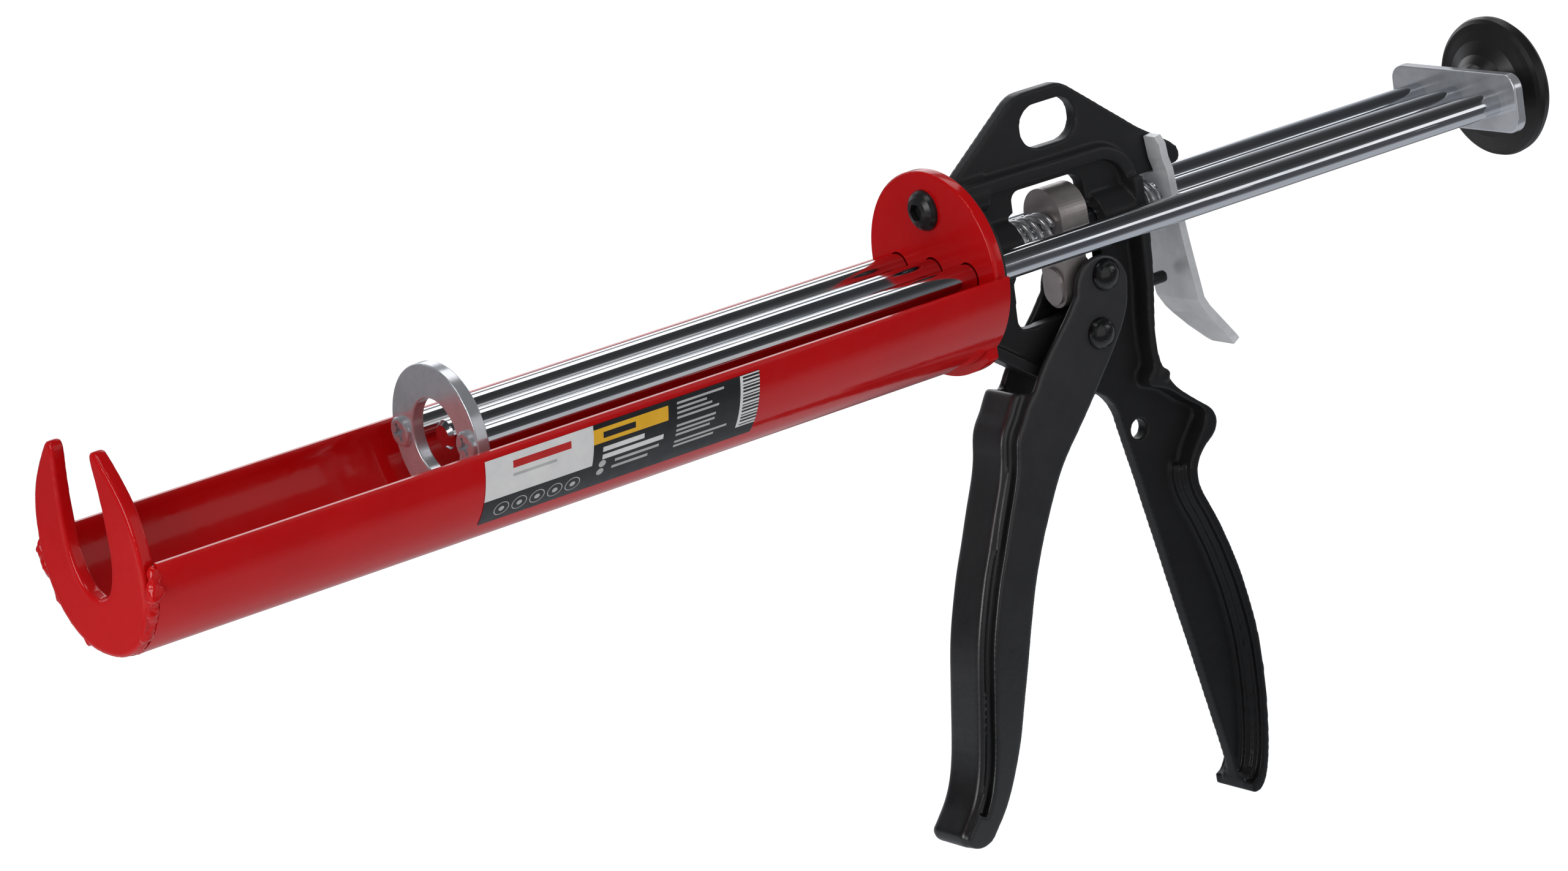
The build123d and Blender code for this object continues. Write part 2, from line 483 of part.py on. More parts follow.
def closed_slab(lines, y0, y1):
    """Slab whose outline is made of smooth runs joined end to end."""
    edges = []
    first = lines[0][0]
    last = None
    for ln in lines:
        if last is not None and math.dist(last, ln[0]) > 1e-6:
            edges.append(Line((last[0], y0, last[1]), (ln[0][0], y0, ln[0][1])))
        if len(ln) > 2:
            edges.append(Spline(*[(x, y0, z) for x, z in ln]))
        else:
            edges.append(Line((ln[0][0], y0, ln[0][1]), (ln[1][0], y0, ln[1][1])))
        last = ln[-1]
    if math.dist(last, first) > 1e-6:
        edges.append(Line((last[0], y0, last[1]), (first[0], y0, first[1])))
    return extrude(Face(Wire(edges)), amount=(y1 - y0), dir=(0, 1, 0))


# centre line of the groove that runs behind the nose and meets it at the toe
groove = [(-19.4, -35.6), (-15.4, -39.8), (-11.6, -45.2), (-8.5, -52.7), (-4.8, -61.7), (-0.6, -73.9), (2.8, -84.8), (5.8, -95.7),
          (8.2, -106.7), (9.9, -118.2), (11.6, -125.6), (14.9, -132.2), (18.2, -136.6), (19.9, -139.0), (19.4, -140.8)]
low = [(19.4, -140.8), (17.6, -142.0), (14.1, -142.1), (12.4, -141.3), (10.9, -139.7)]
cheek_edge = [groove, low, rear, cheek_top[1:], cheek_front]
side_wall_l = closed_slab(cheek_edge, CHEEK_IN, CHEEK_OUT)
side_wall_r = closed_slab(cheek_edge, -CHEEK_OUT, -CHEEK_IN)


def inward(line, d):
    """A line of the trigger's front moved back into it by d, or forward when d is negative."""
    a = offset_line(line, abs(d))
    b = offset_line(line, -abs(d))
    if a[5][0] > b[5][0]:
        a, b = b, a
    return a if d > 0 else b


# front plate and the walls folded back from it
nose_back = inward(front, 7.0)
nose_back = [(-20.8, -35.7)] + nose_back[1:-1] + [(11.8, -138.4)]
nose = closed_slab([front, bottom, [bottom[-1], nose_back[-1]], list(reversed(nose_back))], -NOSE_OUT, NOSE_OUT)
corners = [e for e in nose.edges() if abs(abs(e.center().Y) - NOSE_OUT) < 0.01 and e.length > 10]
corners = sorted(corners, key=lambda e: e.center().X)[-4:]
nose = soften(nose, corners, NOSE_R)
pocket_front = inward(front, 2.0)[:-3]
pocket_front = [(pocket_front[0][0] - 1.6, pocket_front[0][1] + 3.0)] + pocket_front
pocket_back = [(p[0] - 8, p[1]) for p in nose_back[:-4]]
pocket_back = [(pocket_back[0][0], pocket_back[0][1] + 3.0)] + pocket_back
nose -= closed_slab([pocket_front, list(reversed(pocket_back))], -NOSE_IN, NOSE_IN)
# the toe is closed across the bottom
toe = slab([(19.6, -137.6), (20.3, -138.8), (19.8, -140.4), (18.0, -141.6), (14.1, -141.9), (12.6, -141.1), (11.2, -139.7), (12.4, -138.4)],
           -CHEEK_OUT + 0.5, CHEEK_OUT - 0.5)
trig = nose + side_wall_l + side_wall_r + toe
# rolled groove between the front plate and each cheek
path = [(-17.6, -30.1)] + front[:-2]
g_front = inward(path, 1.75)
g_back = inward(path, 4.1)
for sgn in (1, -1):
    y0, y1 = (VALLEY_OUT, 12) if sgn > 0 else (-12, -VALLEY_OUT)
    trig -= closed_slab([g_front, list(reversed(g_back))], y0, y1)
trig -= cyl_y(PIN_R, -20, 20, PIVOT[0], PIVOT[1])
trig -= cyl_y(PIN_R, -20, 20, DRIVE_PIN[0], DRIVE_PIN[1])
trig = one(trig)
print("trigger", trig.is_valid, round(trig.volume))
put("trigger", trig)


def dome_rivet(x, z):
    """Rivet along Y with a domed head on each cheek."""
    r = 4.1
    h = 2.6
    prof = [(0, -CHEEK_OUT - h)]
    n = 8
    for i in range(1, n + 1):
        a = math.radians(90 * i / n)
        prof.append((r * math.sin(a), -CHEEK_OUT - h * math.cos(a)))
    prof += [(PIN_R, -CHEEK_OUT), (PIN_R, CHEEK_OUT)]
    for i in range(n, -1, -1):
        a = math.radians(90 * i / n)
        prof.append((r * math.sin(a), CHEEK_OUT + h * math.cos(a)))
    sk = make_face(Polyline(*prof, close=True))
    body = revolve(sk, axis=Axis.Y)
    return Pos(x, 0, z) * body


put("pivot_rivet", one(dome_rivet(*PIVOT)))
put("drive_pin", one(dome_rivet(*DRIVE_PIN)))

# ---------------------------------------------------------------------------
# Sticker on the cradle's left flank
# ---------------------------------------------------------------------------
st = cyl_x(CRADLE_RO + 0.15, 74.0, 151.0, 0, AXIS_Z) - cyl_x(CRADLE_RO, 73.0, 152.0, 0, AXIS_Z)
ang0, ang1 = math.radians(-5.5), math.radians(-42.0)
wedge = [(0, AXIS_Z)] + [(40 * math.cos(ang0 + (ang1 - ang0) * i / 6), AXIS_Z + 40 * math.sin(ang0 + (ang1 - ang0) * i / 6)) for i in range(7)]
st = st & plate(wedge, 70, 155)
put("label_sticker", one(st))

for name, shape in PARTS.items():
    export_step(shape, f"parts/{name}.step")
print(len(PARTS), "nodes")
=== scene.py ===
import bpy
import bmesh
import math
import random
import numpy as np
from mathutils import Vector, Matrix, noise


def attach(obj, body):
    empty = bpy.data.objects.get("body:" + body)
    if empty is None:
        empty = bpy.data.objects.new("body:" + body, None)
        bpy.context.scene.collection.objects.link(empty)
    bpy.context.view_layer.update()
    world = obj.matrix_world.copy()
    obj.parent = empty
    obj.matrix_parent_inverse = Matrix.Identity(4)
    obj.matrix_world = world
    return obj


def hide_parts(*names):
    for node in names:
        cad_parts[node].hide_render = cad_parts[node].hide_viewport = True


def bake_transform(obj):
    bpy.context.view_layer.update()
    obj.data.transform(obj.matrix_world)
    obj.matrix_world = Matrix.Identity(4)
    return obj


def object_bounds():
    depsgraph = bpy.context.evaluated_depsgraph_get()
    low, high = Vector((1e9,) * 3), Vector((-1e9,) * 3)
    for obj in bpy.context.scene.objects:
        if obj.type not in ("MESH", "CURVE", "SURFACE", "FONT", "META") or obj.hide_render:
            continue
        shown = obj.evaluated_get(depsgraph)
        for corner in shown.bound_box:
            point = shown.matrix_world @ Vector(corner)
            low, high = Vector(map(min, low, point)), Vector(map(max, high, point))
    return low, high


MM = 0.001
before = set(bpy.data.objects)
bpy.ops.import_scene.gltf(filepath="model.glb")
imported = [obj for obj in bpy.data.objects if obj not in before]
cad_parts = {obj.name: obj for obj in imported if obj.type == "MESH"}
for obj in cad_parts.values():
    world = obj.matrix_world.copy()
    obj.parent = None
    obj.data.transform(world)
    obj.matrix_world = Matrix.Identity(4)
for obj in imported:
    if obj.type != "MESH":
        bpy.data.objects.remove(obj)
cad_lo, cad_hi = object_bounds()
scene = bpy.context.scene
scene.view_settings.view_transform = "Standard"

# ---------------------------------------------------------------------------
# Camera
# ---------------------------------------------------------------------------
cam_data = bpy.data.cameras.new("camera")
cam_data.sensor_width = 36.0
cam_data.lens = 117.45
cam_data.clip_start = 0.05
cam_data.clip_end = 200.0
camera = bpy.data.objects.new("camera", cam_data)
scene.collection.objects.link(camera)
right = Vector((-0.7867990, 0.5988524, -0.1494096))
up = Vector((-0.2741646, -0.1222221, 0.9538844))
fwd = Vector((-0.5529748, -0.7914781, -0.2603484))
m = Matrix.Identity(4)
for i in range(3):
    m[i][0], m[i][1], m[i][2] = right[i], up[i], -fwd[i]
m[0][3], m[1][3], m[2][3] = 0.7224938, 0.9611827, 0.2895473
camera.matrix_world = m
scene.camera = camera

# ---------------------------------------------------------------------------
# Studio: pale floor, soft boxes, pale surroundings
# ---------------------------------------------------------------------------


def area(name, loc, target, size_x, size_y, power, colour=(1, 1, 1)):
    d = bpy.data.lights.new(name, "AREA")
    d.shape = "RECTANGLE"
    d.size, d.size_y = size_x, size_y
    d.energy = power
    d.color = colour
    o = bpy.data.objects.new(name, d)
    scene.collection.objects.link(o)
    o.location = loc
    o.rotation_euler = (Vector(target) - Vector(loc)).to_track_quat("-Z", "Y").to_euler()
    return o


def panel(name, loc, target, sx, sy, radiance):
    """Soft box given by its brightness."""
    o = area(name, loc, target, sx, sy, radiance * math.pi * sx * sy)
    o.visible_camera = False
    return o


panel("side_panel", (-0.05, 0.52, 0.06), (-0.05, 0, 0.06), 0.54, 0.44, 0.40)
panel("over_strip", (-0.42, -0.30, 0.80), (0.05, 0, 0), 0.36, 0.34, 1.6)
panel("top_softbox", (0.35, 0.30, 1.10), (0.03, 0, -0.03), 0.55, 0.45, 2.0)
panel("left_strip", (-0.60, 0.50, 0.12), (0.12, 0.0, 0.0), 0.34, 0.20, 1.0)
panel("front_softbox", (1.25, 0.15, 0.30), (0.1, 0, -0.02), 0.6, 0.6, 4.2)
panel("back_softbox", (-0.5, -1.1, 0.45), (-0.03, 0, -0.02), 0.9, 0.6, 1.0)

world = bpy.data.worlds.new("studio")
scene.world = world
world.use_nodes = True
wn, wl = world.node_tree.nodes, world.node_tree.links
wn.clear()
w_out = wn.new("ShaderNodeOutputWorld")
w_bg_cam = wn.new("ShaderNodeBackground")
w_bg_cam.inputs["Color"].default_value = (1, 1, 1, 1)
w_bg_cam.inputs["Strength"].default_value = 1.0
w_bg_gl = wn.new("ShaderNodeBackground")
w_bg_gl.inputs["Strength"].default_value = 1.0
w_bg_df = wn.new("ShaderNodeBackground")
w_bg_df.inputs["Color"].default_value = (0.98, 0.99, 1.0, 1)
w_bg_df.inputs["Strength"].default_value = 0.46
w_mix = wn.new("ShaderNodeMixShader")
w_mix2 = wn.new("ShaderNodeMixShader")
w_path = wn.new("ShaderNodeLightPath")
w_tc = wn.new("ShaderNodeTexCoord")
w_sep = wn.new("ShaderNodeSeparateXYZ")
w_ramp = wn.new("ShaderNodeValToRGB")
wl.new(w_tc.outputs["Generated"], w_sep.inputs[0])
w_at = wn.new("ShaderNodeMath")
w_at.operation = "ARCTAN2"
wl.new(w_sep.outputs["Z"], w_at.inputs[0])
wl.new(w_sep.outputs["Y"], w_at.inputs[1])
w_mr = wn.new("ShaderNodeMapRange")
w_mr.inputs["From Min"].default_value = -math.pi
w_mr.inputs["From Max"].default_value = math.pi
wl.new(w_at.outputs[0], w_mr.inputs["Value"])
wl.new(w_mr.outputs["Result"], w_ramp.inputs["Fac"])
e = w_ramp.color_ramp.elements
e[0].position, e[0].color = 0.0, (0.74, 0.78, 0.84, 1)
e[1].position, e[1].color = 1.0, (0.74, 0.78, 0.84, 1)
for deg, c in ((-150, 0.60), (-110, 0.48), (-58, 0.46), (-46, 0.10), (-30, 0.06), (0, 0.11), (22, 0.12), (38, 0.055), (60, 0.035),
               (100, 0.045), (122, 0.11), (138, 0.28), (155, 0.50), (168, 0.64)):
    q = e.new((deg + 180.0) / 360.0)
    q.color = (c, c * 1.02, c * 1.08, 1)
w_ramp2 = wn.new("ShaderNodeValToRGB")
wl.new(w_mr.outputs["Result"], w_ramp2.inputs["Fac"])
e2 = w_ramp2.color_ramp.elements
e2[0].position, e2[0].color = 0.0, (0.11, 0.112, 0.12, 1)
e2[1].position, e2[1].color = 1.0, (0.11, 0.112, 0.12, 1)
for deg, c in ((-150, 0.18), (-60, 0.22), (-40, 0.10), (0, 0.14), (30, 0.10), (60, 0.05), (136, 0.03), (152, 0.045), (170, 0.08)):
    q = e2.new((deg + 180.0) / 360.0)
    q.color = (c, c * 1.02, c * 1.08, 1)
w_xr = wn.new("ShaderNodeMapRange")
w_xr.inputs["From Min"].default_value = 0.15
w_xr.inputs["From Max"].default_value = 0.50
wl.new(w_sep.outputs["X"], w_xr.inputs["Value"])
w_cm = wn.new("ShaderNodeMix")
w_cm.data_type = "RGBA"
wl.new(w_xr.outputs["Result"], w_cm.inputs[0])
wl.new(w_ramp.outputs["Color"], w_cm.inputs[6])
wl.new(w_ramp2.outputs["Color"], w_cm.inputs[7])
wl.new(w_cm.outputs[2], w_bg_gl.inputs["Color"])
wl.new(w_path.outputs["Is Glossy Ray"], w_mix.inputs["Fac"])
wl.new(w_bg_df.outputs[0], w_mix.inputs[1])
wl.new(w_bg_gl.outputs[0], w_mix.inputs[2])
wl.new(w_path.outputs["Is Camera Ray"], w_mix2.inputs["Fac"])
wl.new(w_mix.outputs[0], w_mix2.inputs[1])
wl.new(w_bg_cam.outputs[0], w_mix2.inputs[2])
wl.new(w_mix2.outputs[0], w_out.inputs["Surface"])

FLOOR_Z = cad_lo.z - 0.012
fm = bpy.data.meshes.new("studio_floor")
fb = bmesh.new()
bmesh.ops.create_circle(fb, cap_ends=True, radius=12.0, segments=96)
bmesh.ops.translate(fb, verts=fb.verts, vec=(0, 0, FLOOR_Z))
fb.to_mesh(fm)
fb.free()
floor = bpy.data.objects.new("studio_floor", fm)
scene.collection.objects.link(floor)

# ---------------------------------------------------------------------------
# Node helpers
# ---------------------------------------------------------------------------


class Mat:
    """A material with a Principled shader and short ways to add nodes."""

    def __init__(self, name, **base):
        self.m = bpy.data.materials.new(name)
        self.m.use_nodes = True
        self.n, self.l = self.m.node_tree.nodes, self.m.node_tree.links
        self.n.clear()
        self.out = self.n.new("ShaderNodeOutputMaterial")
        self.p = self.n.new("ShaderNodeBsdfPrincipled")
        self.l.new(self.p.outputs[0], self.out.inputs["Surface"])
        self.tc = self.n.new("ShaderNodeTexCoord").outputs["Object"]
        for k, v in base.items():
            self.set(k, v)

    NAMES = {"metallic": "Metallic", "rough": "Roughness", "colour": "Base Color", "coat": "Coat Weight",
             "coat_rough": "Coat Roughness", "ior": "IOR", "spec": "Specular IOR Level", "aniso": "Anisotropic"}

    def set(self, key, v):
        s = self.p.inputs[self.NAMES[key]]
        if key == "colour":
            v = (*v, 1.0)
        s.default_value = v

    def to(self, key, socket):
        self.l.new(socket, self.p.inputs[self.NAMES[key]])

    def scaled(self, sx, sy, sz, rot=(0, 0, 0), loc=(0, 0, 0)):
        mp = self.n.new("ShaderNodeMapping")
        mp.inputs["Scale"].default_value = (sx, sy, sz)
        mp.inputs["Rotation"].default_value = rot
        mp.inputs["Location"].default_value = loc
        self.l.new(self.tc, mp.inputs["Vector"])
        return mp.outputs[0]

    def noise(self, scale, detail=3.0, rough=0.55, vec=None, distort=0.0):
        t = self.n.new("ShaderNodeTexNoise")
        t.inputs["Scale"].default_value = scale
        t.inputs["Detail"].default_value = detail
        t.inputs["Roughness"].default_value = rough
        t.inputs["Distortion"].default_value = distort
        self.l.new(vec if vec is not None else self.tc, t.inputs["Vector"])
        return t.outputs["Fac"]

    def voronoi(self, scale, vec=None, feature="F1", out="Distance"):
        t = self.n.new("ShaderNodeTexVoronoi")
        t.feature = feature
        t.inputs["Scale"].default_value = scale
        self.l.new(vec if vec is not None else self.tc, t.inputs["Vector"])
        return t.outputs[out]

    def ramp(self, socket, stops, colour=False, mode="LINEAR"):
        r = self.n.new("ShaderNodeValToRGB")
        r.color_ramp.interpolation = mode
        els = r.color_ramp.elements
        while len(els) > 1:
            els.remove(els[0])
        for i, (p, c) in enumerate(stops):
            el = els[0] if i == 0 else els.new(p)
            el.position = p
            el.color = (*c, 1.0) if isinstance(c, tuple) else (c, c, c, 1.0)
        self.l.new(socket, r.inputs["Fac"])
        return r.outputs["Color"]

    def math(self, op, a, b=None, c=None, clamp=False):
        t = self.n.new("ShaderNodeMath")
        t.operation = op
        t.use_clamp = clamp
        for i, v in enumerate((a, b, c)):
            if v is None:
                continue
            if isinstance(v, (int, float)):
                t.inputs[i].default_value = v
            else:
                self.l.new(v, t.inputs[i])
        return t.outputs[0]

    def mix(self, fac, a, b, mode="MIX"):
        t = self.n.new("ShaderNodeMix")
        t.data_type = "RGBA"
        t.blend_type = mode
        for sock, v in ((t.inputs[0], fac), (t.inputs[6], a), (t.inputs[7], b)):
            if isinstance(v, (int, float)):
                sock.default_value = v
            elif isinstance(v, tuple):
                sock.default_value = (*v, 1.0)
            else:
                self.l.new(v, sock)
        return t.outputs[2]

    def bump(self, height, strength, distance, under=None):
        b = self.n.new("ShaderNodeBump")
        b.inputs["Strength"].default_value = strength
        b.inputs["Distance"].default_value = distance
        self.l.new(height, b.inputs["Height"])
        if under is not None:
            self.l.new(under, b.inputs["Normal"])
        return b.outputs["Normal"]

    def normal(self, socket):
        self.l.new(socket, self.p.inputs["Normal"])

    def edge(self):
        """1 on worn outside edges, 0 elsewhere."""
        g = self.n.new("ShaderNodeNewGeometry")
        return g.outputs["Pointiness"]

    def axes(self):
        s = self.n.new("ShaderNodeSeparateXYZ")
        self.l.new(self.tc, s.inputs[0])
        return s.outputs[0], s.outputs[1], s.outputs[2]


# floor: pale matt sheet, lit from below for the eye, a mid grey in reflections
fmat = Mat("studio_floor", rough=0.95, spec=0.0)
fmat.to("colour", fmat.ramp(fmat.noise(3.0, 4), [(0.3, (0.44, 0.44, 0.443)), (0.7, (0.46, 0.46, 0.46))]))
fmat.p.inputs["Emission Color"].default_value = (1, 1, 1, 1)
fmat.p.inputs["Emission Strength"].default_value = 0.80
f_path = fmat.n.new("ShaderNodeLightPath")
f_gl = fmat.n.new("ShaderNodeEmission")
fx, fy, fz = fmat.axes()
f_y = fmat.math("MULTIPLY_ADD", fy, 0.8, 0.5, clamp=True)
f_near = fmat.ramp(f_y, [(0.02, (0.12, 0.12, 0.13)), (0.10, (0.45, 0.46, 0.48)), (0.34, (0.50, 0.51, 0.53)), (0.436, (0.40, 0.41, 0.43)),
                         (0.476, (0.47, 0.485, 0.52)), (0.596, (0.44, 0.455, 0.49)), (0.652, (0.11, 0.11, 0.12)), (0.74, (0.08, 0.08, 0.09))])
f_far = fmat.ramp(f_y, [(0.02, (0.08, 0.08, 0.09)), (0.10, (0.12, 0.12, 0.13)), (0.40, (0.15, 0.155, 0.165)),
                        (0.476, (0.45, 0.465, 0.50)), (0.596, (0.44, 0.455, 0.49)), (0.652, (0.11, 0.11, 0.12)), (0.74, (0.08, 0.08, 0.09))])
f_x = fmat.math("MULTIPLY_ADD", fx, 0.5, 0.5, clamp=True)
f_sel = fmat.ramp(f_x, [(0.42, 0.0), (0.45, 1.0), (0.60, 1.0), (0.66, 0.9), (0.71, 0.0), (0.76, 0.0), (0.785, 1.0), (0.85, 1.0), (0.885, 0.0)])
fmat.l.new(fmat.mix(f_sel, f_far, f_near), f_gl.inputs["Color"])
f_gl.inputs["Strength"].default_value = 1.0
f_df = fmat.n.new("ShaderNodeBsdfDiffuse")
f_df.inputs["Color"].default_value = (0.88, 0.88, 0.88, 1)
f_m1 = fmat.n.new("ShaderNodeMixShader")
f_m2 = fmat.n.new("ShaderNodeMixShader")
fmat.l.new(f_path.outputs["Is Glossy Ray"], f_m1.inputs["Fac"])
fmat.l.new(f_df.outputs[0], f_m1.inputs[1])
fmat.l.new(f_gl.outputs[0], f_m1.inputs[2])
fmat.l.new(f_path.outputs["Is Camera Ray"], f_m2.inputs["Fac"])
fmat.l.new(f_m1.outputs[0], f_m2.inputs[1])
fmat.l.new(fmat.p.outputs[0], f_m2.inputs[2])
fmat.l.new(f_m2.outputs[0], fmat.out.inputs["Surface"])
fm.materials.append(fmat.m)


def red_paint():
    """Thick glossy powder paint with a little orange peel."""
    a = Mat("red_powder_paint", rough=0.12, ior=1.5, spec=0.42)
    broad = a.noise(22, 3)
    col = a.ramp(broad, [(0.3, (0.47, 0.0026, 0.0040)), (0.7, (0.57, 0.0040, 0.0052))])
    speck = a.ramp(a.noise(2600, 1), [(0.70, 0.0), (0.78, 1.0)])
    col = a.mix(a.math("MULTIPLY", speck, 0.20), col, (0.36, 0.003, 0.004))
    a.to("colour", col)
    a.to("rough", a.ramp(a.noise(300, 3), [(0.3, 0.09), (0.7, 0.16)]))
    n1 = a.bump(a.noise(330, 2, 0.4), 0.10, 0.0003)
    n2 = a.bump(a.noise(900, 2), 0.04, 0.0001, n1)
    a.normal(n2)
    return a.m


def black_coat(name="black_satin_coat", r0=0.36, r1=0.5, grain=1.0, base=0.011, spec=0.5, lift=None):
    """Satin black coating with a fine grain; lift, when given, is the tone of a painted top light that makes the
    upper part lighter.
    """
    a = Mat(name, rough=0.42, ior=1.48, spec=spec)
    broad = a.noise(35, 4)
    col = a.ramp(broad, [(0.3, (base, base, base * 1.08)), (0.7, (base * 1.5, base * 1.52, base * 1.68))])
    dust = a.ramp(a.noise(1500, 2, 0.7), [(0.72, 0.0), (0.80, 1.0)])
    col = a.mix(a.math("MULTIPLY", dust, 0.10), col, (0.10, 0.10, 0.10))
    if lift:
        # painted light: the upper part is painted in the lighter lift tone and fades to the darker base lower down,
        # standing in for light falling from above
        h = a.math("MULTIPLY_ADD", a.axes()[2], 8.3, 1.0, clamp=True)
        col = a.mix(h, col, (lift, lift * 1.01, lift * 1.08))
    a.to("colour", col)
    a.to("rough", a.ramp(a.noise(120, 5, 0.6), [(0.3, r0), (0.7, r1)]))
    n1 = a.bump(a.noise(260, 2, 0.5), 0.10 * grain, 0.0005)
    n2 = a.bump(a.noise(1900, 2, 0.6), 0.16 * grain, 0.00012, n1)
    a.normal(n2)
    return a.m


def chrome_rod():
    """Drawn steel rod, zinc plated and polished: streaks run along X."""
    a = Mat("plated_rod", metallic=1.0)
    streak = a.noise(1.0, 5, 0.7, a.scaled(7, 500, 500))
    long_streak = a.noise(1.0, 4, 0.6, a.scaled(22, 320, 320))
    cloud = a.noise(60, 4)
    col = a.ramp(streak, [(0.25, (0.62, 0.64, 0.68)), (0.5, (0.76, 0.78, 0.81)), (0.75, (0.84, 0.85, 0.86))])
    tint = a.ramp(a.noise(1.0, 3, 0.5, a.scaled(9, 60, 60)), [(0.35, (0.88, 0.94, 1.0)), (0.65, (1.0, 0.965, 0.91))])
    col = a.mix(0.5, col, a.mix(1.0, col, tint, "MULTIPLY"))
    stain = a.ramp(a.noise(1.0, 5, 0.7, a.scaled(160, 300, 300)), [(0.62, 0.0), (0.76, 1.0)])
    col = a.mix(a.math("MULTIPLY", stain, 0.30), col, (0.40, 0.41, 0.44))
    a.to("colour", col)
    rr = a.math("ADD", a.ramp(long_streak, [(0.3, 0.045), (0.7, 0.10)]), a.math("MULTIPLY", a.ramp(cloud, [(0.45, 0.0), (0.7, 1.0)]), 0.05))
    a.to("rough", rr)
    n1 = a.bump(streak, 0.05, 0.00010)
    scratch = a.ramp(a.noise(1.0, 2, 0.5, a.scaled(25, 2600, 2600, rot=(0, 0, 0.03))), [(0.66, 0.0), (0.70, 1.0)])
    n2 = a.bump(scratch, 0.10, 0.00008, n1)
    pits = a.ramp(a.noise(420, 2, 0.6), [(0.70, 0.0), (0.80, 1.0)])
    a.normal(a.bump(pits, -0.25, 0.00010, n2))
    return a.m


def zinc(name, c0, c1, r0, r1, spangle=0.25, stain=0.2, streak_axis=None, grain=1.0, metallic=1.0):
    """Zinc plating: cloudy, slightly blue, with rub marks."""
    a = Mat(name, metallic=metallic)
    cloud = a.noise(140, 5, 0.65)
    col = a.ramp(cloud, [(0.3, c0), (0.7, c1)])
    cell = a.voronoi(420, out="Color")
    bw = a.n.new("ShaderNodeRGBToBW")
    a.l.new(cell, bw.inputs[0])
    col = a.mix(a.math("MULTIPLY", bw.outputs[0], spangle), col, tuple(0.62 * v for v in c1))
    blot = a.ramp(a.noise(55, 6, 0.7, distort=0.6), [(0.56, 0.0), (0.72, 1.0)])
    col = a.mix(a.math("MULTIPLY", blot, stain), col, (0.27, 0.28, 0.30))
    a.to("colour", col)
    a.to("rough", a.ramp(a.noise(260, 5, 0.7), [(0.3, r0), (0.7, r1)]))
    rub = a.noise(1.0, 3, 0.6, a.scaled(900, 900, 60) if streak_axis is None else a.scaled(*streak_axis))
    n1 = a.bump(rub, 0.08 * grain, 0.00012)
    n2 = a.bump(a.noise(1300, 3, 0.7), 0.10 * grain, 0.0001, n1)
    a.normal(n2)
    return a.m


def sintered():
    """Sintered steel: fine pores, brown-grey oil tint, smoother where it was tumbled."""
    a = Mat("sintered_steel", metallic=0.8)
    col = a.ramp(a.noise(90, 5, 0.6), [(0.3, (0.46, 0.42, 0.41)), (0.7, (0.62, 0.57, 0.56))])
    pores = a.ramp(a.voronoi(2300), [(0.05, 1.0), (0.22, 0.0)])
    col = a.mix(a.math("MULTIPLY", pores, 0.55), col, (0.07, 0.055, 0.05))
    a.to("colour", col)
    a.to("rough", a.ramp(a.noise(500, 4, 0.7), [(0.3, 0.30), (0.7, 0.46)]))
    n1 = a.bump(a.noise(1700, 3, 0.7), 0.22, 0.00012)
    n2 = a.bump(pores, -0.2, 0.0001, n1)
    a.normal(n2)
    return a.m


def wire():
    """Bright drawn spring wire."""
    a = Mat("spring_wire", metallic=0.85)
    col = a.ramp(a.noise(700, 4, 0.6), [(0.3, (0.62, 0.62, 0.64)), (0.7, (0.80, 0.80, 0.82))])
    a.to("colour", col)
    a.to("rough", a.ramp(a.noise(900, 3), [(0.3, 0.22), (0.7, 0.34)]))
    a.normal(a.bump(a.noise(2500, 2), 0.08, 0.00008))
    return a.m


def black_plastic():
    """Moulded black plastic: fine spark finish and faint flow lines."""
    a = Mat("black_moulded_plastic", rough=0.34, ior=1.47)
    col = a.ramp(a.noise(30, 3), [(0.3, (0.011, 0.0095, 0.0095)), (0.7, (0.017, 0.015, 0.015))])
    a.to("colour", col)
    a.to("rough", a.ramp(a.noise(200, 4, 0.6), [(0.3, 0.28), (0.7, 0.40)]))
    n1 = a.bump(a.noise(1400, 2, 0.5), 0.10, 0.00012)
    n2 = a.bump(a.noise(90, 2, 0.4), 0.10, 0.0005, n1)
    a.normal(n2)
    return a.m


RED = red_paint()
# the last argument of BLACK and BLACK_CAST is the lift tone: painted light that makes their upper parts lighter
BLACK = black_coat("black_satin_coat", 0.26, 0.36, 1.0, 0.004, 0.90, 0.030)
BLACK_CAST = black_coat("black_cast_coat", 0.26, 0.38, 1.2, 0.003, 0.30, 0.022)
BLACK_SCREW = black_coat("black_oxide_screw", 0.24, 0.36, 0.7, 0.012)
BLACK_RIVET = black_coat("black_painted_rivet", 0.16, 0.26, 0.5, 0.005, 0.8)
ROD = chrome_rod()
ZINC = zinc("zinc_plate", (0.66, 0.68, 0.72), (0.80, 0.82, 0.86), 0.12, 0.24, 0.12, 0.14, None, 0.4, metallic=0.72)
ZINC_SCREW = zinc("zinc_screw", (0.62, 0.63, 0.67), (0.80, 0.81, 0.84), 0.16, 0.30, 0.14, 0.12, None, 0.6, metallic=0.78)
ZINC_LEVER = zinc("zinc_lever", (0.70, 0.71, 0.74), (0.84, 0.85, 0.87), 0.26, 0.42, 0.15, 0.22, metallic=0.30)
SINTER = sintered()
WIRE = wire()
PLASTIC = black_plastic()

